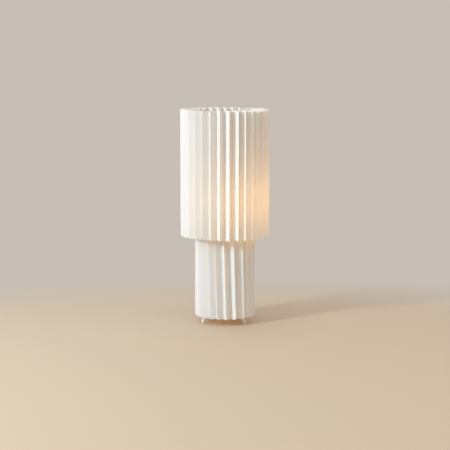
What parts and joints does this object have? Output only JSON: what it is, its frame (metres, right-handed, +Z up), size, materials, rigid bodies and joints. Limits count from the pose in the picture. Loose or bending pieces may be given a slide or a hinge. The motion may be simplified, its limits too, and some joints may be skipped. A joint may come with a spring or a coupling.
{
  "type": "pleated paper table lamp",
  "caption": "Two-tier table lamp of white pleated paper, a wide shade over a narrow sleeve, on a wire frame with hairpin feet, lit from inside.",
  "frame": {"origin": "on the table, at the middle of the footprint, on the lamp's axis", "axes": "+Z up along the lamp's axis; the lamp's front, as seen in the picture, faces -Y"},
  "size_m": [0.1894, 0.1894, 0.457],
  "materials": {
    "paper": "matte pleated card",
    "white_wire": "satin powder coat",
    "holder_plastic": "gloss",
    "grip_plastic": "satin",
    "core_ceramic": "matte",
    "brass": "bright",
    "zinc_steel": "zinc plated",
    "bulb_glass": "frosted, lit",
    "clear_glass": "clear",
    "black_glass": "gloss",
    "cap_metal": "satin",
    "filament": "lit phosphor"
  },
  "bodies": {
    "stand": {"sleeve_paper": "paper", "base_ring": "white_wire", "neck_ring": "white_wire", "hairpin_foot_1": "white_wire", "hairpin_foot_2": "white_wire", "hairpin_foot_3": "white_wire", "neck_spoke_1": "white_wire", "neck_spoke_2": "white_wire", "neck_spoke_3": "white_wire", "upright_1": "white_wire", "upright_2": "white_wire", "upright_3": "white_wire", "fitter_ring": "white_wire", "lampholder_shell": "holder_plastic", "shade_ring_nut": "holder_plastic", "lampholder_cap": "holder_plastic", "cord_gland": "grip_plastic", "grip_screw": "grip_plastic", "insulator_core": "core_ceramic", "screw_shell": "brass", "centre_contact": "brass", "terminal_block_1": "brass", "terminal_block_2": "brass", "terminal_screws": "zinc_steel", "entry_nipple": "zinc_steel", "lock_nut": "zinc_steel"},
    "shade": {"shade_paper": "paper", "shade_top_ring": "white_wire", "shade_bottom_ring": "white_wire", "carrier_ring": "white_wire", "carrier_arm_1": "white_wire", "carrier_arm_2": "white_wire", "carrier_arm_3": "white_wire"},
    "bulb": {"bulb_glass": "bulb_glass", "bulb_cap": "cap_metal", "cap_insulator": "black_glass", "bulb_contact": "cap_metal", "lamp_stem": "clear_glass", "support_wires": "cap_metal", "filament_strips": "filament"}
  },
  "joints": [
    {"name": "shade_lift", "type": "slide", "parent": "stand", "child": "shade", "axis": [0, 0, 1], "range_m": [0, 0.12]},
    {"name": "bulb_unscrew", "type": "slide", "parent": "stand", "child": "bulb", "axis": [0, 0, 1], "range_m": [0, 0.27]}
  ]
}
